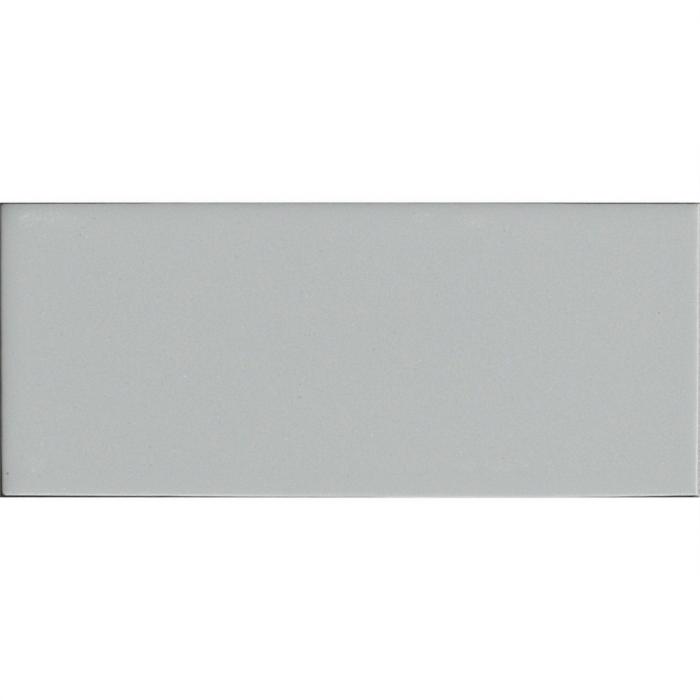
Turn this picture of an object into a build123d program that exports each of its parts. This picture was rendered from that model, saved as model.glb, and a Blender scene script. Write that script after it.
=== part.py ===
from build123d import *
import os
from math import cos, radians, sin, tan

# Glazed porcelain tile, fired as one piece. It lies on its back with the glazed face up.
# Millimetres. X runs along the tile, Y across it and Z up from the back.
# The origin is the middle of the outline, at the height of the back's crests.

# Overall size, over the land at the foot of the side walls
tile_length = 254.0
tile_breadth = 107.0
tile_thickness = 8.0

# Outline seen from above: straight edges and small rounded corners
corner_radius = 1.5

# Side section from the back upward: a bevel, an upright land, then a wall that leans inward
back_bevel = 0.9
land_height = 2.4
wall_lean_deg = 5.0

# Cushion edge: three arcs that run on into each other, each named with the slope it ends at
arris_radius = 0.9
arris_end_deg = 14.0
shoulder_radius = 14.0
shoulder_end_deg = 4.0
cushion_radius = 74.0
cushion_end_deg = 0.35

# Keying pattern pressed into the back: pockets with sloping walls between crossing ridges
back_border = 5.5
pocket_pitch = 16.0
ridge_width = 2.4
pocket_depth = 0.9
pocket_wall_deg = 30.0
pocket_corner_clip = 1.5

# How far the cutting shapes reach past the blank on every side
overreach = 3.0

half_length = tile_length / 2
half_breadth = tile_breadth / 2


def arc_point(centre, radius, slope_deg):
    """Point of a section arc where its surface slopes by slope_deg from level."""
    slope = radians(slope_deg)
    return (centre[0] + radius * sin(slope), centre[1] + radius * cos(slope))


def arc_centre(point, radius, slope_deg):
    """Centre of the section arc that passes through a point with the given slope."""
    slope = radians(slope_deg)
    return (point[0] - radius * sin(slope), point[1] - radius * cos(slope))


def arc_rise(radius, start_deg, end_deg):
    """Height a section arc gains as its slope falls from start_deg to end_deg."""
    return radius * (cos(radians(end_deg)) - cos(radians(start_deg)))


def section_arc(centre, radius, start_deg, end_deg):
    """One arc of the cushion section between two slopes."""
    middle_deg = (start_deg + end_deg) / 2
    return ThreePointArc(
        arc_point(centre, radius, start_deg),
        arc_point(centre, radius, middle_deg),
        arc_point(centre, radius, end_deg),
    )


def waste_section():
    """Section of the material outside one edge: x is outward from the outline and y is up."""
    wall_deg = 90.0 - wall_lean_deg
    cushion_rise = (
        arc_rise(arris_radius, wall_deg, arris_end_deg)
        + arc_rise(shoulder_radius, arris_end_deg, shoulder_end_deg)
        + arc_rise(cushion_radius, shoulder_end_deg, cushion_end_deg)
    )
    wall_top = tile_thickness - cushion_rise
    wall_inset = (wall_top - land_height) * tan(radians(wall_lean_deg))
    wall_end = (-wall_inset, wall_top)

    arris_centre = arc_centre(wall_end, arris_radius, wall_deg)
    arris_end = arc_point(arris_centre, arris_radius, arris_end_deg)
    shoulder_centre = arc_centre(arris_end, shoulder_radius, arris_end_deg)
    shoulder_end = arc_point(shoulder_centre, shoulder_radius, shoulder_end_deg)
    cushion_centre = arc_centre(shoulder_end, cushion_radius, shoulder_end_deg)
    crown = arc_point(cushion_centre, cushion_radius, 0.0)

    bevel_foot = (-back_bevel - overreach, -overreach)
    bevel_head = (0.0, back_bevel)
    land_head = (0.0, land_height)
    waste_top = tile_thickness + overreach
    waste_side = 2 * overreach
    return make_face([
        Line(bevel_foot, bevel_head),
        Line(bevel_head, land_head),
        Line(land_head, wall_end),
        section_arc(arris_centre, arris_radius, wall_deg, arris_end_deg),
        section_arc(shoulder_centre, shoulder_radius, arris_end_deg, shoulder_end_deg),
        section_arc(cushion_centre, cushion_radius, shoulder_end_deg, 0.0),
        Line(crown, (crown[0], waste_top)),
        Line((crown[0], waste_top), (waste_side, waste_top)),
        Line((waste_side, waste_top), (waste_side, -overreach)),
        Line((waste_side, -overreach), bevel_foot),
    ])


def upright_plane(x, y, heading_deg):
    """Upright plane at a point of the plan, with its x along the heading and its y up."""
    heading = radians(heading_deg)
    return Plane(
        origin=(x, y, 0.0),
        x_dir=(cos(heading), sin(heading), 0.0),
        z_dir=(sin(heading), -cos(heading), 0.0),
    )


def edge_waste(x, y, heading_deg, half_run):
    """Waste outside one straight edge, given the edge's middle, the way it faces and its half length."""
    section = upright_plane(x, y, heading_deg) * waste_section()
    return extrude(section, half_run + overreach, both=True)


def corner_block():
    """Upright block that takes the mitred corner off, back to the rounded corner's centre."""
    reach = corner_radius + overreach
    height = tile_thickness + 2 * overreach
    block = Box(reach, reach, height, align=(Align.MIN, Align.MIN, Align.MIN))
    return Pos(half_length - corner_radius, half_breadth - corner_radius, -overreach) * block


def corner_turn():
    """Rounded corner at +X and +Y: the edge section turned about the corner's own centre."""
    x = half_length - corner_radius
    y = half_breadth - corner_radius
    blank = Pos(-corner_radius / 2, tile_thickness / 2) * Rectangle(corner_radius, tile_thickness)
    kept = blank - waste_section()
    section = upright_plane(x, y, 0.0) * Pos(corner_radius, 0.0) * kept
    return revolve(section, Axis((x, y, 0.0), (0.0, 0.0, 1.0)), 90.0)


def on_four_corners(shape):
    """The shape at +X and +Y, and its mirror images on the other three corners."""
    pair = [shape, mirror(shape, Plane.YZ)]
    return pair + [mirror(each, Plane.XZ) for each in pair]


def back_pockets():
    """Grid of pockets in the back: an even number of rows, so a ridge crosses the middle."""
    field_length = tile_length - 2 * back_border
    field_breadth = tile_breadth - 2 * back_border
    columns = max(1, round(field_length / pocket_pitch))
    rows = 2 * max(1, round(field_breadth / pocket_pitch / 2))
    pitch_x = (field_length + ridge_width) / columns
    pitch_y = (field_breadth + ridge_width) / rows
    square = Rectangle(pitch_x - ridge_width, pitch_y - ridge_width)
    mouth = chamfer(square.vertices(), pocket_corner_clip)
    pocket = extrude(mouth, pocket_depth, dir=(0.0, 0.0, 1.0), taper=pocket_wall_deg)
    return [place * pocket for place in GridLocations(pitch_x, pitch_y, columns, rows)]


def build_tile():
    """The whole tile, from a plain blank."""
    blank = Pos(0.0, 0.0, tile_thickness / 2) * Box(
        tile_length + 2 * overreach,
        tile_breadth + 2 * overreach,
        tile_thickness,
    )
    end_waste = edge_waste(half_length, 0.0, 0.0, half_breadth)
    side_waste = edge_waste(0.0, half_breadth, 90.0, half_length)
    waste = [end_waste, mirror(end_waste, Plane.YZ), side_waste, mirror(side_waste, Plane.XZ)]
    for piece in waste + on_four_corners(corner_block()):
        blank = blank - piece
    for piece in on_four_corners(corner_turn()):
        blank = blank + piece
    return blank - back_pockets()


os.makedirs("parts", exist_ok=True)
tile = build_tile().solid()
tile.label = "tile"
export_step(tile, "parts/tile.step")
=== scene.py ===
import math

import bpy
import numpy as np
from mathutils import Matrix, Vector, noise


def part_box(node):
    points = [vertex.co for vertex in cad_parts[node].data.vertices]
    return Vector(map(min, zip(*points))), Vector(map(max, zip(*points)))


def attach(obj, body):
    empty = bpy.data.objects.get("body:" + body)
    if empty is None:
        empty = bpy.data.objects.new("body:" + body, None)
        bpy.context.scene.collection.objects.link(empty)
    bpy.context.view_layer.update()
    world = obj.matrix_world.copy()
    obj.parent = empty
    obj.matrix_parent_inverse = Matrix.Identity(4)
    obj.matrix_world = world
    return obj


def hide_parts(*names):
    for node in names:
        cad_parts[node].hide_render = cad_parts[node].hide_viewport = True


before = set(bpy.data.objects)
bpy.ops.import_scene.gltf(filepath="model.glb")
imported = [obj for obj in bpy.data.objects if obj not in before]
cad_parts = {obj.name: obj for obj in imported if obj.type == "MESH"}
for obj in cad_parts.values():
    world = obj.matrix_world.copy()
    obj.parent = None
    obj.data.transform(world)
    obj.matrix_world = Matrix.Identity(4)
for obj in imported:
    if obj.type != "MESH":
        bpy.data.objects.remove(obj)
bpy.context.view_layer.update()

# Glazed porcelain tile seen square on from above, on a plain pale floor.
# The frame's unit is the metre. The tile's shape is worked out in millimetres and scaled once.
MM = 0.001
BOX_LOW, BOX_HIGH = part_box("tile")

# Overall size, from the frame
HALF_LENGTH = (BOX_HIGH.x - BOX_LOW.x) / 2 / MM
HALF_BREADTH = (BOX_HIGH.y - BOX_LOW.y) / 2 / MM
THICKNESS = (BOX_HIGH.z - BOX_LOW.z) / MM

# Side section of the fired body, as in the CAD
LAND_HEIGHT = 2.4
WALL_LEAN = math.radians(5.0)
ARRIS_RADIUS = 0.9
ARRIS_START = math.pi / 2 - WALL_LEAN
ARRIS_END = math.radians(14.0)
SHOULDER_RADIUS = 14.0
SHOULDER_END = math.radians(4.0)
CUSHION_RADIUS = 74.0
CUSHION_END = math.radians(0.35)

# Corners seen from above, in the photograph: almost square at the foot, and a little round at the
# arris. Over the cushion the rings open out, so that no crease runs in from the corner.
FOOT_CORNER = 0.2
ARRIS_CORNER = 0.75
CROWN_CORNER = 5.0
GRID_CORNER = 2.5
# How fast the corner radius grows inward over the foot
FOOT_OPENING = 0.5
# The glaze corner at the front left is knocked off, down to the bare body: how much rounder it is
# at the top of the wall, and how far in from there that fades out
NICK = 1.0
NICK_REACH = 1.9
# How much rounder the corner at the rear left is than the rest
ROUNDER = 0.9

# Foot of the wall, from the back's flat border up to the head of the land: how far in each ring
# lies, its height, and its share of the wear
FOOT = (
    (2.20, 0.00, 0.0), (1.15, 0.00, 0.0), (0.95, 0.03, 0.0), (0.80, 0.13, 1.0),
    (0.13, 0.76, 1.0), (0.03, 0.90, 1.0), (0.00, 1.06, 0.3), (0.00, 1.60, 0.3),
    (0.00, 2.15, 0.3), (0.02, 2.42, 0.3),
)
# Wear of the foot by chips and by grain, and grain of the wall: half depths in millimetres
CHIP_WEAR = 0.05
GRAIN_WEAR = 0.02
WALL_GRAIN = 0.025
# Wavelength and noise seed of the grain and of the chips
GRAIN_WAVE = (1.3, 21)
CHIP_WAVE = (3.7, 22)

# Rings of the bare wall, as shares of its height from the land up to the glaze
WALL_SHARES = (0.12, 0.32, 0.55, 0.78, 0.94, 1.0)
# The glaze stops a little below the arris, along a wandering line, and stands proud of the body
GLAZE_DROP = 0.35
GLAZE_BUILD = 0.10
# Share of the bare wall's height over which the body falls back by that much
RECESS_RUN = 0.3
# Waves of the line: wavelength, height and noise seed
LINE_WAVES = ((9.0, 0.30, 11), (2.2, 0.12, 12))
# Least room between the line and the land under it, and the arris over it
LINE_ROOM = (0.9, 0.20)
# How much higher the line runs on the right wall, how far in from the end that begins, and over
# what run it comes in
LINE_RAISE = 0.22
LINE_RAISE_FROM = 3.0
LINE_RAISE_RUN = 2.0
# Drips of glaze down the right wall: pixel row of the photograph and length in millimetres
DRIPS = ((285.6, 1.7), (363.6, 1.3), (479.0, 0.8))
DRIP_WIDTH = 0.9
# Lip of the glaze, its under side and then its bulge: height over the line where the glaze stops,
# and how far in from the wall it is, as a share of the glaze's build
LIP = ((0.02, 0.45), (0.08, 0.05), (0.18, -0.05))

# Keying pattern of the back, as in the CAD
BACK_BORDER = 5.5
POCKET_PITCH = 16.0
RIDGE_WIDTH = 2.4
POCKET_DEPTH = 0.9
POCKET_WALL = math.radians(30.0)
POCKET_RUN = POCKET_DEPTH * math.tan(POCKET_WALL)
POCKET_CORNER = 1.5
# How far a pocket's rounded edges reach past its sloping wall, on either side
POCKET_EASE = 0.05
# Grid lines beside a pocket's edge, in from it
POCKET_LINES = (-0.2, 0.06, 0.46, 0.75, 2.0)

# How far below the CAD's top the glazed face's swells begin, which keeps a blister inside the box
FACE_SINK = 0.03
# Swells left in the glaze by the spray and the kiln: wavelength, height and noise seed
SWELLS = ((34.0, 0.020, 1), (11.0, 0.009, 2), (4.5, 0.0025, 3))
# How far apart in the noise one seed is from the next
SEED_STEP = (17.3, 5.1, 9.7)

# Every ring of the edge lies at least this far inside the CAD's outline
LEAST_INSET = 0.004

# The photograph is cropped a hair inside the tile's ends: its length fills the picture's width
PICTURE_PIXELS = 700
CROPPED = 0.09
PIXEL_MM = 2 * (HALF_LENGTH - CROPPED) / PICTURE_PIXELS
# Where the tile's middle is in it, in pixels from the left and from the top
MIDDLE_PIXEL = (350.0, 350.0)

# How far the top of each side wall stands in from its foot on this tile, in millimetres, by the
# photograph's pixel row on the short sides and its pixel column on the long ones
RIGHT_RIM = ((202, 0.15), (330, 0.38), (497, 0.78))
LEFT_RIM = ((202, 0.47), (260, 0.48), (330, 0.60), (450, 0.79), (497, 0.98))
REAR_RIM = (
    (0, 0.52), (40, 0.50), (80, 0.44), (120, 0.36), (170, 0.23), (200, 0.18), (480, 0.19),
    (540, 0.31), (590, 0.48), (699, 0.50),
)
FRONT_RIM = (
    (0, 0.82), (20, 0.80), (40, 0.76), (80, 0.65), (120, 0.58), (160, 0.56), (200, 0.40),
    (250, 0.26), (300, 0.21), (350, 0.18), (400, 0.04), (550, 0.03), (600, 0.18), (640, 0.42),
    (660, 0.55), (680, 0.72), (699, 0.74),
)
# What the rim adds to the CAD's inset fades out over the cushion, by this power of an eased step
RIM_FADE = 0.5
# Arris radius on the right, left, rear and front of this tile, in millimetres
ARRIS_RADII = (0.90, 0.85, 0.50, 0.62)
# How far the arris wanders in plan on the right, left, rear and front, in millimetres
ARRIS_WANDER = (0.10, 0.04, 0.03, 0.05)
# Waves of that wander: wavelength, share of it and noise seed. They are taken at a height of the
# noise that nothing else uses, and fade out this far in from the wall.
WANDER_WAVES = ((2.6, 0.7, 31), (1.1, 0.4, 32))
WANDER_LEVEL = 5.0
WANDER_REACH = 3.0

# Pinholes seen in the face: pixel column and row of the photograph, and radius in millimetres
PINHOLES = (
    (658, 312, 0.28), (120, 279, 0.27), (374, 349, 0.26), (142, 262, 0.24), (309, 335, 0.24),
    (162, 382, 0.23), (512, 398, 0.23), (188, 336, 0.20), (320, 251, 0.20), (565, 434, 0.20),
)
PINHOLE_DEPTH = 0.12
# Small blisters of glaze: pixel column and row, and radius in millimetres
BLISTERS = ((185, 376, 0.26),)
BLISTER_HEIGHT = 0.025
# Rings of each, from its flat collar inward: radius, and depth or height, both as shares
PINHOLE_RINGS = ((1.25, 0.0), (1.0, 0.0), (0.82, 0.55), (0.5, 1.0))
BLISTER_RINGS = ((1.3, 0.0), (1.0, 0.12), (0.7, 0.7), (0.35, 1.0))
# How uneven those rings are, and the room each mark keeps in its cell, in its own radii
MARK_WOBBLE = 0.10
MARK_ROOM = 1.35

# Specks in the glaze, and painted glints: pixel column and row, radius in millimetres, and how much
# darker each is. A negative one is lighter: a painted glint, on the blister and in the scuffed
# patches.
SPECKS_AND_GLINTS = (
    (7, 473, 0.85, 0.85), (94, 218, 0.60, 0.28), (80, 234, 0.62, 0.26), (21, 456, 0.55, 0.24),
    (110, 337, 0.60, 0.18), (219, 422, 0.58, 0.22), (296, 425, 0.58, 0.18), (299, 397, 0.65, 0.26),
    (299, 384, 0.58, 0.20), (627, 358, 0.55, 0.18), (436, 278, 0.55, 0.18), (74, 407, 0.58, 0.20),
    (185, 376, 0.62, -0.30), (42, 459, 0.75, -0.14), (32, 470, 0.75, -0.18), (19, 453, 0.55, -0.18),
    (40, 215, 0.65, -0.14), (26, 226, 0.60, -0.13), (31, 225, 0.60, -0.12), (33, 218, 0.60, -0.12),
    (41, 217, 0.60, -0.11), (50, 212, 0.60, -0.11), (62, 211, 0.50, -0.10), (80, 218, 0.60, -0.09),
    (413, 217, 0.60, -0.09), (465, 215, 0.70, -0.08), (492, 222, 0.60, -0.08),
    (46, 214, 0.60, -0.12), (53, 215, 0.55, -0.10), (58, 213, 0.65, -0.14), (75, 217, 0.65, -0.13),
    (429, 215, 0.80, -0.12), (473, 222, 0.70, -0.13), (478, 226, 0.70, -0.13),
)
# Fainter specks scattered over the glaze, some darker and some lighter: mean spacing and radius
# in millimetres, greatest rise and greatest fall
SCATTER = {"cell": 8.0, "radius": 0.54, "rise": 0.20, "fall": 0.21}

# Scuffed patches, painted lighter as highlights where the glaze catches the light: pixel column and
# row, half length, half height and strength
SCUFF_HIGHLIGHTS = (
    (44, 217, 34, 10, 0.090),
    (27, 219, 15, 11, 0.075),
    (66, 221, 28, 12, 0.065),
    (420, 217, 16, 7, 0.095),
    (471, 220, 20, 9, 0.080),
    (466, 465, 14, 7, 0.080),
    (500, 467, 15, 7, 0.090),
    (36, 464, 18, 13, 0.070),
    (13, 438, 9, 26, 0.060),
)
# Share of a scuff's painted highlight that is even haze; the rest is in small bright spots, painted
# glints
SCUFF_HAZE = 0.28
# Share of its reach over which a scuff is at full strength
SCUFF_CORE = 0.2

# A scratch across the scuff at the rear left: pixel column and row, half length, half width, how
# much lighter it is, and its turn from the tile's length in degrees
SCRATCHES = ((24.8, 215.9, 11.5, 2.2, 0.13, 30.0),)

# Painted light and shade on the glaze toward each edge, darker at the rear than at the front: axis,
# side, how much darker it is at the very edge (lighter where negative), and how fast that fades inward
# in millimetres
EDGE_PAINTED_LIGHT_AND_SHADE = (
    ("X", 1.0, 0.120, 3.5),
    ("X", -1.0, 0.120, 2.8),
    ("Y", 1.0, 0.165, 1.8),
    ("Y", 1.0, -0.012, 12.0),
    ("Y", -1.0, 0.040, 3.5),
    ("Y", -1.0, -0.005, 14.0),
)
# Painted light and shade toward each corner, darkest at the rear left and lightest at the front right:
# side along, side across, how much darker at the very corner (lighter where negative), and how fast
# that fades with the two insets added up, in millimetres
CORNER_PAINTED_LIGHT_AND_SHADE = (
    (-1.0, 1.0, 0.52, 4.2),
    (1.0, 1.0, -0.26, 2.6),
    (-1.0, -1.0, 0.09, 7.5),
    (1.0, -1.0, -0.52, 2.0),
    (1.0, -1.0, 0.035, 9.0),
)
# How fast the glaze gets thicker, in from the edge, in millimetres
THIN_REACH = 0.8

# Mesh counts: the fine rings round the edge have RATIO points to each point of the grids
RATIO = 3
ARRIS_STEPS = 8
SHOULDER_STEPS = 5
CUSHION_STEPS = 6
PIT_SIDES = 12
LINES_PER_POCKET = 2 * (len(POCKET_LINES) + 1)
# Cells of a grid's border that one corner of a ring takes up, half of them on each side
CORNER_CELLS = 2
# Bands of glaze, from its lip inward, that are missing at the chipped corner
CHIPPED_BANDS = 5
# How far in from the cushion's end the last fine ring and the face's grid lie, and how far in from
# the outline the back's grid does
LAST_RING_IN = 0.9
FACE_GRID_IN = 2.2
BACK_GRID_IN = 2.9
# Faces that meet at more than this are shaded as a sharp edge
SHARP_ANGLE = math.radians(42.0)
# Material number of each kind of face
GLAZE, BODY, BACK, PIT = range(4)

# Back pattern counts, as in the CAD
FIELD_LENGTH = 2 * (HALF_LENGTH - BACK_BORDER)
FIELD_BREADTH = 2 * (HALF_BREADTH - BACK_BORDER)
COLUMNS = max(1, round(FIELD_LENGTH / POCKET_PITCH))
ROWS = 2 * max(1, round(FIELD_BREADTH / POCKET_PITCH / 2))
PITCH_X = (FIELD_LENGTH + RIDGE_WIDTH) / COLUMNS
PITCH_Y = (FIELD_BREADTH + RIDGE_WIDTH) / ROWS
GRID_X = LINES_PER_POCKET * COLUMNS + CORNER_CELLS
GRID_Y = LINES_PER_POCKET * ROWS + CORNER_CELLS


def photo_place(column, row):
    """Place on the tile, in millimetres, of a pixel of the photograph."""
    return (column + 0.5 - MIDDLE_PIXEL[0]) * PIXEL_MM, (MIDDLE_PIXEL[1] - row - 0.5) * PIXEL_MM


def smooth(value):
    """Eased step from 0 to 1 as value goes from 0 to 1."""
    share = np.clip(value, 0.0, 1.0)
    return share * share * (3.0 - 2.0 * share)


def wave(plan, length, seed, height=0.0):
    """Smooth noise between about -1 and 1 at each place of the plan, at one height of the noise."""
    shift = Vector([seed * step for step in SEED_STEP])
    return np.array([noise.noise(Vector((x, y, height)) / length + shift) for x, y in plan])


def section_profile():
    """Edge section above the wall: distance in from the outline, height, slope of each arc point."""
    arcs = (
        (ARRIS_RADIUS, ARRIS_START, ARRIS_END, ARRIS_STEPS),
        (SHOULDER_RADIUS, ARRIS_END, SHOULDER_END, SHOULDER_STEPS),
        (CUSHION_RADIUS, SHOULDER_END, CUSHION_END, CUSHION_STEPS),
    )
    rise = sum(radius * (math.cos(end) - math.cos(start)) for radius, start, end, _ in arcs)
    wall_top = THICKNESS - rise
    wall_inset = (wall_top - LAND_HEIGHT) * math.tan(WALL_LEAN)
    inset, height = wall_inset, wall_top
    points = []
    for radius, start, end, steps in arcs:
        for step in range(1, steps + 1):
            slope = start + (end - start) * step / steps
            points.append((
                inset + radius * (math.sin(start) - math.sin(slope)),
                height + radius * (math.cos(slope) - math.cos(start)),
                slope,
            ))
        inset, height, _ = points[-1]
    return wall_inset, points


WALL_INSET, EDGE_POINTS = section_profile()
ARRIS_HEAD = EDGE_POINTS[ARRIS_STEPS - 1][1]
FLAT_INSET = EDGE_POINTS[-1][0]


def outline(inset, radii, share):
    """Points and outward directions of one ring round the tile, from the front left corner.

    inset is how far in from the CAD's outline the ring lies: one number, or one for each point.
    radii are the four corner radii: front left, front right, rear right, rear left.
    share divides the number of points: 1 for a fine ring and RATIO for a coarse one.
    """
    side_counts = [RATIO * (cells - CORNER_CELLS) // share for cells in (GRID_X, GRID_Y)]
    corner_count = RATIO * CORNER_CELLS // share
    total = 2 * sum(side_counts) + 4 * corner_count
    insets = inset * np.ones(total)
    halves = (HALF_BREADTH, HALF_LENGTH)
    outward = np.array([(0.0, -1.0), (1.0, 0.0), (0.0, 1.0), (-1.0, 0.0)])
    firsts = np.cumsum([0] + [side_counts[side % 2] + corner_count for side in range(3)])
    points = []
    normals = []
    for side in range(4):
        count, first = side_counts[side % 2], firsts[side]
        normal, onward = outward[side], outward[(side + 1) % 4]
        half_out, half_on = halves[side % 2], halves[(side + 1) % 2]
        radius = radii[(side + 1) % 4]
        # Insets where this side meets the corner before it and the one after it
        before = insets[(first - corner_count) % total]
        own, after = insets[first + count], insets[firsts[(side + 1) % 4]]
        start, end = before + radii[side] - half_on, half_on - after - radius
        along = start + (end - start) * np.arange(count) / count
        out = half_out - insets[first:first + count]
        points.append(out[:, None] * normal + along[:, None] * onward)
        normals.append(np.tile(normal, (count, 1)))
        turn = math.pi / 2 * np.arange(corner_count) / corner_count
        facing = np.cos(turn)[:, None] * normal + np.sin(turn)[:, None] * onward
        even = np.cos(turn) ** 2 * own + np.sin(turn) ** 2 * after
        reach = radius + even - insets[first + count:first + count + corner_count]
        centre = (half_out - own - radius) * normal + end * onward
        points.append(centre + reach[:, None] * facing)
        normals.append(facing)
    return np.concatenate(points), np.concatenate(normals)


def foot_radii(inset):
    """Corner radii of a ring below the wall, the same at all four corners."""
    return (FOOT_CORNER + FOOT_OPENING * inset,) * 4


def corner_radii(inset, chipped=True):
    """Corner radii of a ring of the wall or the face: front left, front right, rear right, rear left.

    inset is where the ring lies in the CAD. The chip at the front left is in the glaze alone.
    """
    arris_inset = WALL_INSET + ARRIS_RADIUS
    if inset < arris_inset:
        radius = FOOT_CORNER + (ARRIS_CORNER - FOOT_CORNER) * inset / arris_inset
    else:
        run = (inset - arris_inset) / (FLAT_INSET - arris_inset)
        radius = ARRIS_CORNER + (CROWN_CORNER - ARRIS_CORNER) * run
    nick = NICK * float(smooth(1.0 - (inset - WALL_INSET) / NICK_REACH)) if chipped else 0.0
    return radius + nick, radius, radius, radius + ROUNDER * float(smooth(inset / WALL_INSET))


def table(places, pairs):
    """Values at places, eased from one pair of place and value to the next."""
    marks, values = np.array(pairs, float).T
    number = np.clip(np.searchsorted(marks, places) - 1, 0, len(marks) - 2)
    share = (places - marks[number]) / (marks[number + 1] - marks[number])
    return values[number] + (values[number + 1] - values[number]) * smooth(share)


def by_side(normals, right, left, rear, front):
    """One value for each ring point, blended round the corners from the four sides' values."""
    along, across = normals[:, 0], normals[:, 1]
    blend = np.clip(along, 0, None) ** 2 * right + np.clip(-along, 0, None) ** 2 * left
    return blend + np.clip(across, 0, None) ** 2 * rear + np.clip(-across, 0, None) ** 2 * front


def rim_inset(plan, normals):
    """How far the top of the side wall stands in from its foot, at each ring point."""
    columns = plan[:, 0] / PIXEL_MM + MIDDLE_PIXEL[0] - 0.5
    rows = MIDDLE_PIXEL[1] - plan[:, 1] / PIXEL_MM - 0.5
    sides = (
        table(rows, RIGHT_RIM), table(rows, LEFT_RIM),
        table(columns, REAR_RIM), table(columns, FRONT_RIM),
    )
    return by_side(normals, *sides)


def swell(plan):
    """Drop of the glazed surface below its highest level, from the swells in the glaze."""
    drop = np.zeros(len(plan))
    for length, height, seed in SWELLS:
        drop += height / 2 * (1.0 + np.clip(wave(plan, length, seed), -1.0, 1.0))
    return drop


def ring_plan(radii, inset):
    """Places of one fine ring of the edge, at an inset that may change from point to point."""
    plan, _ = outline(np.maximum(inset, LEAST_INSET), radii, 1)
    return plan


def raised(plan, height):
    """Points over the places of a plan, at one height or at a height for each."""
    return np.column_stack([plan, height * np.ones(len(plan))])


def glazed(plan, height):
    """Points of the glazed surface over the places of a plan, lower by its sink and its swells."""
    return raised(plan, height - FACE_SINK - swell(plan))


def glaze_line(plan, wall_top):
    """Height at which the glaze stops on the side wall, all round the tile."""
    height = wall_top - GLAZE_DROP
    for length, rise, seed in LINE_WAVES:
        height = height + rise * wave(plan, length, seed)
    on_right = smooth((plan[:, 0] - HALF_LENGTH + LINE_RAISE_FROM) / LINE_RAISE_RUN)
    height += LINE_RAISE * on_right
    for row, length in DRIPS:
        _, y = photo_place(0, row - 0.5)
        near = np.exp(-(((plan[:, 1] - y) / DRIP_WIDTH) ** 2))
        height -= length * near * on_right
    under, over = LINE_ROOM
    return np.clip(height, LAND_HEIGHT + under, wall_top - over)


class Builder:
    """Vertices and faces of the tile's mesh, with the material number of each face."""

    def __init__(self):
        self.vertices = []
        self.faces = []
        self.kinds = []

    def add(self, points):
        """Adds points and gives their numbers."""
        first = len(self.vertices)
        self.vertices.extend(tuple(float(v) for v in p) for p in points)
        return list(range(first, first + len(points)))

    def face(self, corners, kind):
        """Adds one face of the given kind."""
        self.faces.append(tuple(corners))
        self.kinds.append(kind)

    def band(self, lower, upper, kind, bare=0):
        """Quads between two rings of the same count. The first is lower on the outside.

        The last quads, as many as bare says, are at the front left corner and are bare body.
        """
        count = len(lower)
        for k in range(count):
            n = (k + 1) % count
            here = BODY if k >= count - bare else kind
            self.face((lower[k], lower[n], upper[n], upper[k]), here)

    def fan_band(self, fine, coarse, kind, outward_up):
        """Faces between a fine ring and a coarse one that has a RATIO-th of its points.

        At each edge of the coarse ring the middle face is a quad and the rest are triangles.
        """
        count = len(coarse)
        for k in range(count):
            n = (k + 1) % count
            edge = [fine[(k * RATIO + j) % len(fine)] for j in range(RATIO + 1)]
            for j in range(RATIO):
                corners = [edge[j], edge[j + 1]]
                if 2 * j + 1 >= RATIO:
                    corners.append(coarse[n])
                if 2 * j + 1 <= RATIO:
                    corners.append(coarse[k])
                self.face(corners if outward_up else corners[::-1], kind)


def grid_from_ring(coarse):
    """The points of a coarse ring as the border of a grid, by column and row."""
    count = len(coarse)
    border = {}
    for i in range(GRID_X + 1):
        border[(i, 0)] = coarse[(i - 1) % count]
        border[(GRID_X - i, GRID_Y)] = coarse[(GRID_X + GRID_Y - 1 + i) % count]
    for j in range(GRID_Y + 1):
        border[(GRID_X, j)] = coarse[(GRID_X - 1 + j) % count]
        border[(0, GRID_Y - j)] = coarse[(2 * GRID_X + GRID_Y - 1 + j) % count]
    return border


def grid_cells(numbers):
    """Each cell of a grid, with its four corners counterclockwise from above."""
    for j in range(GRID_Y):
        for i in range(GRID_X):
            places = ((i, j), (i + 1, j), (i + 1, j + 1), (i, j + 1))
            yield (i, j), [numbers[place] for place in places]


def back_lines(pitch, count):
    """Places of the grid lines across the pockets, from one end ridge to the other."""
    steps = [0.0] + [RIDGE_WIDTH / 2 + line for line in POCKET_LINES]
    cell = steps + [pitch / 2] + [pitch - step for step in reversed(steps[1:])]
    start = -pitch * count / 2
    lines = [start + pitch * number + step for number in range(count) for step in cell]
    return lines + [start + pitch * count]


def pocket_height(x, y):
    """Height of the back's surface over its crests at a point, rounded at every edge."""
    half_x = (PITCH_X - RIDGE_WIDTH) / 2
    half_y = (PITCH_Y - RIDGE_WIDTH) / 2
    column = math.floor(x / PITCH_X + COLUMNS / 2)
    row = math.floor(y / PITCH_Y + ROWS / 2)
    middle_x = (min(max(column, 0), COLUMNS - 1) - COLUMNS / 2 + 0.5) * PITCH_X
    middle_y = (min(max(row, 0), ROWS - 1) - ROWS / 2 + 0.5) * PITCH_Y
    # How far the point is past the straight part of the pocket's edge each way
    past_x = abs(x - middle_x) - (half_x - POCKET_CORNER)
    past_y = abs(y - middle_y) - (half_y - POCKET_CORNER)
    outside = math.hypot(max(past_x, 0.0), max(past_y, 0.0))
    depth_in = POCKET_CORNER - outside - min(max(past_x, past_y), 0.0)
    return POCKET_DEPTH * float(smooth((depth_in + POCKET_EASE) / (POCKET_RUN + 2 * POCKET_EASE)))


def build_back(mesh, coarse):
    """Back of the tile: pockets between crossing ridges, inside a flat border."""
    numbers = grid_from_ring(coarse)
    xs = back_lines(PITCH_X, COLUMNS)
    ys = back_lines(PITCH_Y, ROWS)
    for j, y in enumerate(ys, start=1):
        for i, x in enumerate(xs, start=1):
            numbers[(i, j)] = mesh.add([(x, y, pocket_height(x, y))])[0]
    for _, corners in grid_cells(numbers):
        mesh.face([corners[0]] + corners[:0:-1], BACK)


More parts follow.
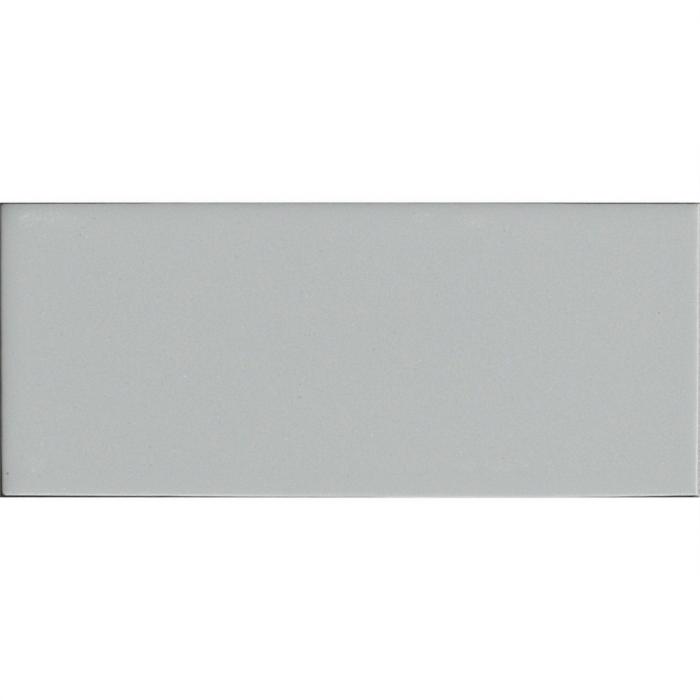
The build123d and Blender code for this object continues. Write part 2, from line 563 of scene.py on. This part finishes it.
def blend_grid(border, mesh):
    """Places of the face's grid, carried in smoothly from its border."""
    rim = {key: np.array(mesh.vertices[number][:2]) for key, number in border.items()}
    places = {}
    for j in range(1, GRID_Y):
        v = j / GRID_Y
        for i in range(1, GRID_X):
            u = i / GRID_X
            across = (1 - v) * rim[(i, 0)] + v * rim[(i, GRID_Y)]
            along = (1 - u) * rim[(0, j)] + u * rim[(GRID_X, j)]
            ends = (
                (1 - u) * (1 - v) * rim[(0, 0)]
                + u * (1 - v) * rim[(GRID_X, 0)]
                + u * v * rim[(GRID_X, GRID_Y)]
                + (1 - u) * v * rim[(0, GRID_Y)]
            )
            places[(i, j)] = across + along - ends
    return places


def marked_cells(places):
    """The pinholes and blisters, each by the cell of the face's grid that it lies in."""
    marks = [(*pinhole, -PINHOLE_DEPTH) for pinhole in PINHOLES]
    marks += [(*blister, BLISTER_HEIGHT) for blister in BLISTERS]
    middles = {}
    for (i, j), place in places.items():
        if (i + 1, j + 1) in places:
            middles[(i, j)] = (place + places[(i + 1, j + 1)]) / 2
    keys = list(middles)
    middle_places = np.array([middles[key] for key in keys])
    cells = {}
    for column, row, radius, height in marks:
        place = np.array(photo_place(column, row))
        nearest = keys[int(np.argmin(((middle_places - place) ** 2).sum(1)))]
        cells[nearest] = (place, radius, height)
    return cells


def build_face(mesh, coarse):
    """Glazed face inside the cushion edge, with its pinholes and blisters."""
    numbers = grid_from_ring(coarse)
    places = blend_grid(numbers, mesh)
    added = mesh.add(glazed(np.array(list(places.values())), THICKNESS))
    numbers.update(zip(places, added))
    cells = marked_cells(places)
    for cell, corners in grid_cells(numbers):
        if cell in cells:
            build_mark(mesh, corners, *cells[cell])
        else:
            mesh.face(corners, GLAZE)


def build_mark(mesh, corners, place, radius, height):
    """A pinhole or a blister in one cell of the face, with a flat collar round it."""
    square = np.array([mesh.vertices[c] for c in corners])
    middle = square.mean(0)
    room = 0.5 * (square[:, :2].max(0) - square[:, :2].min(0)) - MARK_ROOM * radius
    place = middle[:2] + np.clip(place - middle[:2], -room, room)
    rings = PINHOLE_RINGS if height < 0 else BLISTER_RINGS
    # The first point of a ring lies a little past the direction of the cell's first corner
    turns = [2 * math.pi * (k + 0.5) / PIT_SIDES - 3 * math.pi / 4 for k in range(PIT_SIDES)]
    loops = []
    for number, (share, rise) in enumerate(rings):
        rough = 0.0 if number == 0 else MARK_WOBBLE
        points = []
        for turn in turns:
            wobble = 1.0 + rough * math.sin(3.0 * turn + place[0]) * math.cos(2.0 * turn + place[1])
            points.append((
                place[0] + radius * share * wobble * math.cos(turn),
                place[1] + radius * share * wobble * math.sin(turn),
                middle[2] + height * rise,
            ))
        loops.append(mesh.add(points))
    quarter = PIT_SIDES // 4
    for side in range(4):
        arc = [loops[0][(side * quarter + k - 1) % PIT_SIDES] for k in range(quarter + 1)]
        mesh.face([corners[side], corners[(side + 1) % 4]] + arc[::-1], GLAZE)
    for number in range(len(loops) - 1):
        kind = PIT if height < 0 and number >= 1 else GLAZE
        mesh.band(loops[number], loops[number + 1], kind)
    mesh.face(loops[-1], PIT if height < 0 else GLAZE)


def foot_rings(worn):
    """Rings of the wall's foot, from the back's flat border up to the head of the land."""
    return [
        raised(ring_plan(foot_radii(inset), inset + wear * worn), height)
        for inset, height, wear in FOOT
    ]


def wall_rings(rim, wall_top, line, grain):
    """Rings of the bare wall, leaning in up to the glaze, and of the glaze's lip."""
    def wall_in(height):
        return rim * (height - LAND_HEIGHT) / (wall_top - LAND_HEIGHT)

    rings = []
    for share in WALL_SHARES:
        height = LAND_HEIGHT + (line - LAND_HEIGHT) * share
        recess = GLAZE_BUILD * float(smooth(share / RECESS_RUN))
        radii = corner_radii(WALL_INSET * share, chipped=False)
        rings.append(raised(ring_plan(radii, wall_in(height) + recess + WALL_GRAIN * grain), height))
    radii = corner_radii(WALL_INSET, chipped=False)
    for above, back_in in LIP:
        height = line + above
        rings.append(raised(ring_plan(radii, wall_in(height) + GLAZE_BUILD * back_in), height))
    return rings


def cushion_rings(rim, arris, wander):
    """Rings of the arris, the shoulder and the cushion, and the last fine ring inside them."""
    rings = []
    for inset, height, slope in EDGE_POINTS:
        if slope > ARRIS_END:
            fade = 1.0
            height = ARRIS_HEAD - arris * (math.cos(ARRIS_END) - math.cos(slope))
        else:
            run = 1.0 - (inset - WALL_INSET) / (FLAT_INSET - WALL_INSET)
            fade = float(smooth(run)) ** RIM_FADE
        near = float(smooth(1.0 - (inset - WALL_INSET) / WANDER_REACH))
        turn = math.sin(ARRIS_START) - math.sin(max(slope, ARRIS_END))
        shift = rim - WALL_INSET + (arris - ARRIS_RADIUS) * turn
        plan = ring_plan(corner_radii(inset), inset + fade * shift + near * wander)
        rings.append(glazed(plan, height))
    inset = FLAT_INSET + LAST_RING_IN
    rings.append(glazed(ring_plan(corner_radii(inset), inset), THICKNESS))
    return rings


def build_edge(mesh):
    """The whole edge, from the back's border up to the face. Gives its first and last ring."""
    plan, normals = outline(0.0, foot_radii(0.0), 1)
    rim = rim_inset(plan, normals)
    arris = by_side(normals, *ARRIS_RADII)
    wall_top = ARRIS_HEAD - arris * (math.cos(ARRIS_END) - math.cos(ARRIS_START))
    line = glaze_line(plan, wall_top)
    grain = wave(plan, *GRAIN_WAVE)
    worn = CHIP_WEAR * (1.0 + wave(plan, *CHIP_WAVE)) + GRAIN_WEAR * (1.0 + grain)
    waves = [share * wave(plan, length, seed, WANDER_LEVEL) for length, share, seed in WANDER_WAVES]
    wander = sum(waves) * by_side(normals, *ARRIS_WANDER)
    places = foot_rings(worn) + wall_rings(rim, wall_top, line, grain)
    rings = [mesh.add(points) for points in places + cushion_rings(rim, arris, wander)]
    glaze_from = len(FOOT) + len(WALL_SHARES) - 1
    for number in range(len(rings) - 1):
        kind = BODY if number < glaze_from else GLAZE
        bare = RATIO * CORNER_CELLS if number < glaze_from + CHIPPED_BANDS else 0
        mesh.band(rings[number], rings[number + 1], kind, bare)
    return rings[0], rings[-1]


def build_tile_mesh():
    """The whole tile as one closed mesh."""
    mesh = Builder()
    first_ring, last_ring = build_edge(mesh)
    plan, _ = outline(BACK_GRID_IN, foot_radii(BACK_GRID_IN), RATIO)
    back_ring = mesh.add(raised(plan, 0.0))
    mesh.fan_band(first_ring, back_ring, BACK, outward_up=False)
    build_back(mesh, back_ring)
    plan, _ = outline(FLAT_INSET + FACE_GRID_IN, (GRID_CORNER,) * 4, RATIO)
    face_ring = mesh.add(glazed(plan, THICKNESS))
    mesh.fan_band(last_ring, face_ring, GLAZE, outward_up=True)
    build_face(mesh, face_ring)
    return mesh


# Materials: a pattern's size and a relief's height are in millimetres

# Most of a noise value lies between these two
NOISE_SPAN = (0.3, 0.7)
PLAIN = (1.0, 1.0, 1.0, 1.0)


class Nodes:
    """A small hand for wiring the nodes of one material or of the world."""

    def __init__(self, owner):
        self.owner = owner
        owner.use_nodes = True
        self.tree = owner.node_tree
        self.tree.nodes.clear()

    def new(self, kind, inputs=None, **settings):
        """A node with its settings, and with its inputs set or linked."""
        made = self.tree.nodes.new(kind)
        for key, value in settings.items():
            setattr(made, key, value)
        for key, value in (inputs or {}).items():
            socket = made.inputs[key]
            if isinstance(value, bpy.types.NodeSocket):
                self.tree.links.new(value, socket)
            else:
                socket.default_value = value
        return made

    def maths(self, operation, a, b=0.0):
        return self.new("ShaderNodeMath", {0: a, 1: b}, operation=operation).outputs[0]

    def product(self, a, b):
        return self.maths("MULTIPLY", a, b)

    def apart(self, vector):
        """The X, Y and Z of a vector."""
        return self.new("ShaderNodeSeparateXYZ", {0: vector}).outputs

    def place(self, scale=(1.0, 1.0, 1.0), shift=(0.0, 0.0, 0.0)):
        """The place on the object, scaled and shifted."""
        coords = self.new("ShaderNodeTexCoord").outputs["Object"]
        mapping = self.new("ShaderNodeMapping", {"Vector": coords, "Location": shift, "Scale": scale})
        return mapping.outputs[0]

    def noise(self, vector, size_mm, detail=2.0, roughness=0.5):
        """Noise with patches of about the given size."""
        inputs = {
            "Vector": vector, "Scale": 1.0 / (size_mm * MM), "Detail": detail, "Roughness": roughness,
        }
        return self.new("ShaderNodeTexNoise", inputs).outputs["Fac"]

    def away(self, column, row, half_wide, half_high, turn=0.0):
        """Distance from the middle of an ellipse of the photograph: 1 at its edge."""
        x, y = photo_place(column, row)
        inputs = {
            "Vector": self.new("ShaderNodeTexCoord").outputs["Object"],
            "Location": (x * MM, y * MM, THICKNESS * MM),
            "Rotation": (0.0, 0.0, turn),
            "Scale": (half_wide * PIXEL_MM * MM, half_high * PIXEL_MM * MM, 1.0),
        }
        moved = self.new("ShaderNodeMapping", inputs, vector_type="TEXTURE").outputs[0]
        return self.new("ShaderNodeVectorMath", {0: moved}, operation="LENGTH").outputs["Value"]

    def ranged(self, value, low, high, to_low, to_high, kind="LINEAR"):
        """A value carried from one range to another, and held at its ends."""
        inputs = {
            "Value": value, "From Min": low, "From Max": high, "To Min": to_low, "To Max": to_high,
        }
        return self.new("ShaderNodeMapRange", inputs, interpolation_type=kind).outputs[0]

    def spread(self, value, to_low=0.0, to_high=1.0):
        """A noise value spread over a range."""
        return self.ranged(value, *NOISE_SPAN, to_low, to_high)

    def swing(self, value, change):
        """A noise value spread evenly about 1."""
        return self.spread(value, 1.0 - change, 1.0 + change)

    def fade(self, inset, reach):
        """A value that is 1 at the edge and falls by a factor of e in each reach inward."""
        return self.maths("POWER", math.e, self.maths("DIVIDE", inset, -reach * MM))

    def mix(self, factor, a, b, kind="MIX"):
        """A colour between two others, by a mix node's colour sockets."""
        inputs = {0: factor, 6: a, 7: b}
        return self.new("ShaderNodeMix", inputs, data_type="RGBA", blend_type=kind).outputs[2]

    def times(self, a, b):
        """A colour multiplied by another."""
        return self.mix(1.0, a, b, "MULTIPLY")

    def grey(self, value):
        """A colour with the same number in its three channels."""
        return self.new("ShaderNodeCombineColor", {0: value, 1: value, 2: value}).outputs[0]

    def bump(self, strength, height_mm, pattern):
        """The surface's direction with a pattern raised on it."""
        inputs = {"Strength": strength, "Distance": height_mm * MM, "Height": pattern}
        return self.new("ShaderNodeBump", inputs).outputs[0]

    def finish(self, shader, kind="ShaderNodeOutputMaterial"):
        """Wires a shader to the output and gives the material or the world."""
        self.new(kind, {"Surface": shader.outputs[0]})
        return self.owner


# Glaze: its mottle runs from cream to blue, with a cast from green to violet over it
CREAM = (0.4933, 0.4940, 0.4608, 1.0)
BLUE = (0.4487, 0.4940, 0.5201, 1.0)
MOTTLE_SIZE = 0.85
GREEN_CAST = (0.963, 1.037, 0.963, 1.0)
VIOLET_CAST = (1.037, 0.963, 1.037, 1.0)
CAST_SIZE = 0.9
# Its lightness changes in a fine pattern and in slow clouds: size and greatest change of each
FINE_SIZE = 0.60
FINE_CHANGE = 0.06
CLOUD_SIZE = 60.0
CLOUD_CHANGE = 0.005
# Painted light: its lightness at the left end and at the right one, lighter toward the key lamp on the
# right
PAINTED_LIGHT_DRIFT = (0.987, 1.013)
# Where the cast and the fine pattern are taken from, so that neither follows the mottle
CAST_SHIFT = (0.31, 0.17, 0.0)
FINE_SHIFT = (0.07, 0.43, 0.0)
# Small bright spots of the scuffs, painted glints, and the noise values between which they come in
SCUFF_GLINT_SIZE = 1.5
SCUFF_GLINT_SPAN = (0.50, 0.68)
# What the warm body multiplies the colour by where the glaze is thinnest
THIN_TINT = (1.030, 1.0, 0.957, 1.0)
# Orange peel, and patches of more and less gloss
PEEL_SIZE = 2.2
PEEL_HEIGHT = 0.012
PEEL_STRENGTH = 0.35
GLOSS_SIZE = 6.0
GLAZE_ROUGHNESS = (0.18, 0.25)
GLAZE_IOR = 1.5


def glaze_mottle(n, spot):
    """Colour of the glaze's fine mottle."""
    tint = n.spread(n.noise(spot, MOTTLE_SIZE, detail=1.0))
    cast = n.spread(n.noise(n.place(shift=CAST_SHIFT), CAST_SIZE, detail=1.0))
    return n.times(n.mix(tint, CREAM, BLUE), n.mix(cast, GREEN_CAST, VIOLET_CAST))


def scuff_highlight_shade(n, spot, shade):
    """Shade of the glaze with the scuffs' painted highlights and the scratch in it."""
    bright = n.noise(spot, SCUFF_GLINT_SIZE, detail=2.0, roughness=0.6)
    bright = n.ranged(bright, *SCUFF_GLINT_SPAN, SCUFF_HAZE, 1.0, "SMOOTHSTEP")
    lift = 0.0
    for *scuff, strength in SCUFF_HIGHLIGHTS:
        patch = n.ranged(n.away(*scuff), SCUFF_CORE, 1.0, strength, 0.0, "SMOOTHSTEP")
        lift = n.maths("ADD", lift, patch)
    lift = n.product(lift, bright)
    for *scratch, strength, turn in SCRATCHES:
        away = n.away(*scratch, math.radians(turn))
        lift = n.maths("ADD", lift, n.ranged(away, 0.0, 1.0, strength, 0.0, "SMOOTHSTEP"))
    return n.product(shade, n.maths("ADD", lift, 1.0))


def speck_and_glint_shade(n, spot, shade):
    """Shade of the glaze with the placed specks, the painted glints and the scattered specks in it."""
    for column, row, radius, depth in SPECKS_AND_GLINTS:
        x, y = photo_place(column, row)
        centre = (x * MM, y * MM, THICKNESS * MM)
        away = n.new("ShaderNodeVectorMath", {0: spot, 1: centre}, operation="DISTANCE")
        speck_or_glint = n.ranged(away.outputs["Value"], 0.0, radius * MM, 1.0 - depth, 1.0, "SMOOTHSTEP")
        shade = n.product(shade, speck_or_glint)
    inputs = {"Vector": spot, "Scale": 1.0 / (SCATTER["cell"] * MM)}
    cells = n.new("ShaderNodeTexVoronoi", inputs, voronoi_dimensions="2D").outputs
    depth = n.ranged(n.apart(cells["Color"])[0], 0.0, 1.0, -SCATTER["rise"], SCATTER["fall"])
    reach = SCATTER["radius"] / SCATTER["cell"]
    scattered = n.ranged(cells["Distance"], 0.0, reach, 1.0, 0.0, "SMOOTHSTEP")
    dark = n.product(scattered, depth)
    return n.product(shade, n.maths("SUBTRACT", 1.0, dark))


def edge_insets(n, spot):
    """How far in from each of the tile's four sides a place is, in metres, by axis and side."""
    apart = n.apart(spot)
    insets = {}
    for axis, half in (("X", HALF_LENGTH * MM), ("Y", HALF_BREADTH * MM)):
        for side in (-1.0, 1.0):
            insets[(axis, side)] = n.maths("SUBTRACT", half, n.product(apart[axis], side))
    return insets


def painted_edge_shade(n, insets, shade):
    """Shade of the glaze with painted light and shade toward the edges and the corners."""
    painted_tones = [(insets[(axis, side)], depth, reach) for axis, side, depth, reach in EDGE_PAINTED_LIGHT_AND_SHADE]
    for side_x, side_y, depth, reach in CORNER_PAINTED_LIGHT_AND_SHADE:
        both = n.maths("ADD", insets[("X", side_x)], insets[("Y", side_y)])
        painted_tones.append((both, depth, reach))
    for inset, depth, reach in painted_tones:
        dark = n.product(n.fade(inset, reach), depth)
        shade = n.product(shade, n.maths("SUBTRACT", 1.0, dark))
    return shade


def thin_tint(n, insets):
    """What the colour is multiplied by where the glaze gets thin, at the very edge."""
    nearest, *others = insets.values()
    for inset in others:
        nearest = n.maths("MINIMUM", nearest, inset)
    return n.mix(n.fade(nearest, THIN_REACH), PLAIN, THIN_TINT)


def glaze_material():
    """Light grey glossy glaze, with all that is in it, and with painted light and shade on it."""
    n = Nodes(bpy.data.materials.new("glaze_light_grey"))
    spot = n.place()
    fine = n.swing(n.noise(n.place(shift=FINE_SHIFT), FINE_SIZE, detail=1.0), FINE_CHANGE)
    cloud = n.swing(n.noise(spot, CLOUD_SIZE, detail=1.0), CLOUD_CHANGE)
    shade = n.product(fine, cloud)
    # Painted highlights on the scuffed patches near the edges
    shade = scuff_highlight_shade(n, spot, shade)
    # Placed specks, with painted glints on the blister and in the scuffed patches
    shade = speck_and_glint_shade(n, spot, shade)
    # Painted light: the glaze is lighter toward the right end, where the key lamp is
    half = HALF_LENGTH * MM
    painted_drift = n.ranged(n.apart(spot)["X"], -half, half, *PAINTED_LIGHT_DRIFT, "SMOOTHSTEP")
    shade = n.product(shade, painted_drift)
    insets = edge_insets(n, spot)
    # Painted light and shade toward the edges and the corners, darkest at the rear left
    shade = painted_edge_shade(n, insets, shade)
    colour = n.times(n.times(glaze_mottle(n, spot), n.grey(shade)), thin_tint(n, insets))
    peel = n.bump(PEEL_STRENGTH, PEEL_HEIGHT, n.noise(spot, PEEL_SIZE))
    rough = n.spread(n.noise(spot, GLOSS_SIZE, detail=3.0), *GLAZE_ROUGHNESS)
    shader = n.new("ShaderNodeBsdfPrincipled", {
        "Base Color": colour, "Roughness": rough, "IOR": GLAZE_IOR, "Normal": peel,
    })
    return n.finish(shader)


# Bare wall, painted dark as shade, its stains, and a lighter coat on the right end with gaps in it,
# painted light where the key lamp falls, laid on as a coat of spray
PAINTED_SHADE_WALL_DARK = (0.092, 0.087, 0.070, 1.0)
PAINTED_SHADE_WALL_LIGHT = (0.145, 0.139, 0.114, 1.0)
WALL_STAIN = (0.160, 0.148, 0.120, 1.0)
PAINTED_LIGHT_COAT_THIN = (0.40, 0.395, 0.405, 1.0)
PAINTED_LIGHT_COAT_THICK = (0.68, 0.68, 0.66, 1.0)
PAINTED_LIGHT_COAT_GAP = (0.30, 0.29, 0.28, 1.0)
# Where the painted light coat fades out round its corners, in from the end, and how far that wanders
PAINTED_LIGHT_COAT_EDGE = (2.8, 1.9)
PAINTED_LIGHT_COAT_WANDER = 0.5
# Drag marks run up the wall: their breadth, and what their pattern is scaled by in height
DRAG_SIZE = 0.65
DRAG_SCALE = (1.0, 1.0, 0.10)
WALL_GRAIN_SIZE = 0.28
STAIN_SIZE = 5.0
# Noise values between which each colour comes in, and how strong it gets
STAIN_SPAN = (0.35, 0.7)
STAIN_STRENGTH = 0.4
PAINTED_LIGHT_COAT_SPAN = (0.36, 0.64)
PAINTED_LIGHT_COAT_GAP_SPAN = (0.62, 0.74)
PAINTED_LIGHT_COAT_GAP_STRENGTH = 0.6
# Relief: shares of the drag marks and of the grain in it, its height and its strength
DRAG_SHARE = 0.7
GRAIN_SHARE = 0.5
BODY_RELIEF = 0.06
WALL_STRENGTH = 0.7
WALL_ROUGHNESS = (0.70, 0.85)


def body_material():
    """Bare fired body of the side walls: dark warm grey as painted shade, with a lighter coat on the
    right end as painted light, laid on as a thin coat of spray.
    """
    n = Nodes(bpy.data.materials.new("body_wall_painted_shade_and_light"))
    spot = n.place()
    drag = n.noise(n.place(scale=DRAG_SCALE), DRAG_SIZE, detail=3.0, roughness=0.6)
    grain = n.noise(spot, WALL_GRAIN_SIZE, detail=2.0, roughness=0.6)
    stain = n.noise(spot, STAIN_SIZE)
    # Painted shade: the bare wall is dark warm grey, as the walls in shade
    bare = n.mix(n.spread(drag), PAINTED_SHADE_WALL_DARK, PAINTED_SHADE_WALL_LIGHT)
    bare = n.mix(n.ranged(stain, *STAIN_SPAN, 0.0, STAIN_STRENGTH), bare, WALL_STAIN)
    # Painted light: a lighter coat on the right end, which the key lamp lights
    painted_light_coat = n.mix(n.ranged(drag, *PAINTED_LIGHT_COAT_SPAN, 0.0, 1.0), PAINTED_LIGHT_COAT_THIN, PAINTED_LIGHT_COAT_THICK)
    painted_light_coat = n.mix(n.ranged(grain, *PAINTED_LIGHT_COAT_GAP_SPAN, 0.0, PAINTED_LIGHT_COAT_GAP_STRENGTH), painted_light_coat, PAINTED_LIGHT_COAT_GAP)
    wander = n.spread(stain, -PAINTED_LIGHT_COAT_WANDER * MM, PAINTED_LIGHT_COAT_WANDER * MM)
    along = n.maths("ADD", n.apart(spot)["X"], wander)
    start, full = ((HALF_LENGTH - inset) * MM for inset in PAINTED_LIGHT_COAT_EDGE)
    colour = n.mix(n.ranged(along, start, full, 0.0, 1.0), bare, painted_light_coat)
    relief = n.maths("ADD", n.product(drag, DRAG_SHARE), n.product(grain, GRAIN_SHARE))
    shader = n.new("ShaderNodeBsdfPrincipled", {
        "Base Color": colour, "Roughness": n.spread(grain, *WALL_ROUGHNESS),
        "Normal": n.bump(WALL_STRENGTH, BODY_RELIEF, relief), "Specular IOR Level": 0.0,
    })
    return n.finish(shader)


# Bare back, its pores and the kiln wash on its crests
BACK_DARK = (0.125, 0.119, 0.098, 1.0)
BACK_LIGHT = (0.180, 0.172, 0.146, 1.0)
BACK_CLOUD_SIZE = 14.0
PORE = (0.06, 0.057, 0.050, 1.0)
PORE_SIZE = 0.35
PORE_SPAN = (0.60, 0.74)
PORE_STRENGTH = 0.5
KILN_WASH = (0.58, 0.57, 0.54, 1.0)
WASH_SIZE = 3.5
WASH_SPAN = (0.42, 0.58)
WASH_STRENGTH = 0.85
# Heights over the crests between which the wash ends
WASH_HEIGHTS = (0.05, 0.25)
BACK_STRENGTH = 0.6
BACK_ROUGHNESS = (0.78, 0.9)


def back_material():
    """Bare back: fired body with white kiln wash rubbed onto the crests."""
    n = Nodes(bpy.data.materials.new("body_back_kiln_wash"))
    spot = n.place()
    grain = n.noise(spot, PORE_SIZE, detail=3.0, roughness=0.6)
    cloud = n.noise(spot, BACK_CLOUD_SIZE, detail=3.0)
    colour = n.mix(n.spread(cloud), BACK_DARK, BACK_LIGHT)
    colour = n.mix(n.ranged(grain, *PORE_SPAN, 0.0, PORE_STRENGTH), colour, PORE)
    low, high = (height * MM for height in WASH_HEIGHTS)
    crest = n.ranged(n.apart(spot)["Z"], low, high, 1.0, 0.0)
    wash = n.noise(spot, WASH_SIZE, detail=4.0, roughness=0.65)
    patches = n.ranged(wash, *WASH_SPAN, 0.0, WASH_STRENGTH)
    colour = n.mix(n.product(crest, patches), colour, KILN_WASH)
    shader = n.new("ShaderNodeBsdfPrincipled", {
        "Base Color": colour, "Roughness": n.spread(cloud, *BACK_ROUGHNESS),
        "Normal": n.bump(BACK_STRENGTH, BODY_RELIEF, grain),
    })
    return n.finish(shader)


# Inside of a pinhole, painted darker as the shade in its hollow
PIT_PAINTED_SHADE_DARK = (0.26, 0.255, 0.24, 1.0)
PIT_PAINTED_SHADE_LIGHT = (0.36, 0.355, 0.34, 1.0)
PIT_MOTTLE_SIZE = 0.12
PIT_ROUGHNESS = 0.7


def pit_material():
    """Inside of a pinhole: mottled, and painted darker as the shade in its hollow."""
    n = Nodes(bpy.data.materials.new("pinhole_inside_painted_shade"))
    pit_mottle = n.noise(n.place(), PIT_MOTTLE_SIZE)
    # Painted shade inside the pinhole
    colour = n.mix(n.spread(pit_mottle), PIT_PAINTED_SHADE_DARK, PIT_PAINTED_SHADE_LIGHT)
    shader = n.new("ShaderNodeBsdfPrincipled", {"Base Color": colour, "Roughness": PIT_ROUGHNESS})
    return n.finish(shader)


def put(name, data):
    """An object with the given data, put into the scene."""
    made = bpy.data.objects.new(name, data)
    bpy.context.scene.collection.objects.link(made)
    return made


def make_tile():
    """The tile as one piece that stands for the CAD node."""
    built = build_tile_mesh()
    data = bpy.data.meshes.new("tile_fired")
    places = [tuple(v * MM for v in p) for p in built.vertices]
    data.from_pydata(places, [], built.faces)
    for material in (glaze_material(), body_material(), back_material(), pit_material()):
        data.materials.append(material)
    data.polygons.foreach_set("material_index", built.kinds)
    data.polygons.foreach_set("use_smooth", [True] * len(built.faces))
    data.set_sharp_from_angle(angle=SHARP_ANGLE)
    data.validate()
    data.update()
    piece = put("tile_fired", data)
    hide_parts("tile")
    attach(piece, "root")


# Stage: a plain pale floor, which keeps the tile's soft shadow. These two are in metres.
FLOOR_HALF = 8.0
FLOOR_DROP = 0.00002
FLOOR_COLOURS = ((0.12, 0.12, 0.119, 1.0), (0.125, 0.125, 0.124, 1.0))
FLOOR_CLOUD_SIZE = 40.0
# Light of its own that it shows to the camera and to reflections, so that it looks white
FLOOR_TO_CAMERA = 0.89


def make_floor():
    """Floor that looks white from above and is clear from below."""
    data = bpy.data.meshes.new("floor")
    corners = [(FLOOR_HALF * x, FLOOR_HALF * y) for x, y in ((-1, -1), (1, -1), (1, 1), (-1, 1))]
    data.from_pydata([(x, y, -FLOOR_DROP) for x, y in corners], [], [(0, 1, 2, 3)])
    floor = put("floor", data)
    n = Nodes(bpy.data.materials.new("floor_pale"))
    cloud = n.spread(n.noise(n.place(), FLOOR_CLOUD_SIZE))
    matt = n.new("ShaderNodeBsdfDiffuse", {"Color": n.mix(cloud, *FLOOR_COLOURS)})
    path = n.new("ShaderNodeLightPath").outputs
    seen = n.maths("MAXIMUM", path["Is Camera Ray"], path["Is Glossy Ray"])
    seen = n.maths("MAXIMUM", seen, path["Is Transmission Ray"])
    glow = n.new("ShaderNodeEmission", {"Strength": n.product(seen, FLOOR_TO_CAMERA)})
    lit = n.new("ShaderNodeAddShader", {0: matt.outputs[0], 1: glow.outputs[0]})
    under = n.new("ShaderNodeNewGeometry").outputs["Backfacing"]
    clear = n.new("ShaderNodeBsdfTransparent")
    both = n.new("ShaderNodeMixShader", {0: under, 1: lit.outputs[0], 2: clear.outputs[0]})
    data.materials.append(n.finish(both))


# Light: a soft key from the right, and a small lamp straight overhead that the gloss doesn't show.
# heading, height and size are in degrees, and level is what a lamp adds to a level white surface.
KEY = {"heading": 0.0, "height": 38.0, "size": 46.0, "level": 0.47, "glossy": True}
OVERHEAD = {"heading": 0.0, "height": 90.0, "size": 2.0, "level": 0.37, "glossy": False}


def make_lamp(name, heading, height, size, level, glossy):
    """A far lamp. glossy says whether reflections show it."""
    lamp = bpy.data.lights.new(name, "SUN")
    lamp.angle = math.radians(size)
    lamp.energy = level * math.pi / math.sin(math.radians(height))
    lit = put(name, lamp)
    turn, rise = math.radians(heading), math.radians(height)
    toward = Vector((math.cos(rise) * math.cos(turn), math.cos(rise) * math.sin(turn), math.sin(rise)))
    lit.rotation_mode = "QUATERNION"
    lit.rotation_quaternion = toward.to_track_quat("Z", "Y")
    lit.location = toward
    lit.visible_glossy = glossy


# World: white to the camera, and a weak even fill for matt surfaces
WHITE = 1.0
FILL_LEVEL = 0.12
# What the gloss reflects is brighter toward the front, by this power of e right at the front
REFLECTED_SLOPE = 1.55
# It has a bright card there, which comes in between these shares of the way to the front
CARD_SPAN = (0.46, 0.64)
CARD_LEVEL = 7.8
# Both fade out downward, between these shares of the way up
REFLECTED_LOW = (0.30, 0.55)


def make_world():
    """The studio round the scene."""
    world = bpy.data.worlds.new("studio")
    n = Nodes(world)
    path = n.new("ShaderNodeLightPath").outputs
    apart = n.apart(n.new("ShaderNodeTexCoord").outputs["Generated"])
    toward_front = n.product(apart["Y"], -1.0)
    slope = n.maths("POWER", math.e, n.product(toward_front, REFLECTED_SLOPE))
    card = n.ranged(toward_front, *CARD_SPAN, 0.0, CARD_LEVEL, "SMOOTHSTEP")
    high = n.ranged(apart["Z"], *REFLECTED_LOW, 0.0, 1.0, "SMOOTHSTEP")
    studio = n.maths("ADD", n.maths("SUBTRACT", slope, WHITE), card)
    reflected = n.maths("ADD", n.product(studio, high), WHITE)
    direct = n.maths("MAXIMUM", path["Is Camera Ray"], path["Is Transmission Ray"])
    strength = n.maths("ADD", n.product(direct, WHITE - FILL_LEVEL), FILL_LEVEL)
    gloss = n.product(path["Is Glossy Ray"], n.maths("SUBTRACT", reflected, FILL_LEVEL))
    strength = n.maths("ADD", strength, gloss)
    back = n.new("ShaderNodeBackground", {"Color": PLAIN, "Strength": strength})
    bpy.context.scene.world = n.finish(back, "ShaderNodeOutputWorld")


# Camera: straight above, with a long lens, so the walls show only as thin strips
LENS = 1500.0
SENSOR = 36.0
# Height at which the picture is as wide as the photograph: the middle of the land
LAND_MIDDLE = 1.65


def make_camera():
    """The photograph's camera."""
    view = bpy.data.cameras.new("camera")
    view.lens = LENS
    view.sensor_width = SENSOR
    view.sensor_fit = "HORIZONTAL"
    distance = PICTURE_PIXELS * PIXEL_MM * MM * LENS / SENSOR
    view.clip_end = 4 * distance
    camera = put("camera", view)
    x, y = photo_place((PICTURE_PIXELS - 1) / 2, (PICTURE_PIXELS - 1) / 2)
    camera.location = (x * MM, y * MM, LAND_MIDDLE * MM + distance)
    bpy.context.scene.camera = camera


make_tile()
make_floor()
make_lamp("key", **KEY)
make_lamp("overhead", **OVERHEAD)
make_world()
make_camera()
bpy.context.scene.view_settings.view_transform = "Standard"
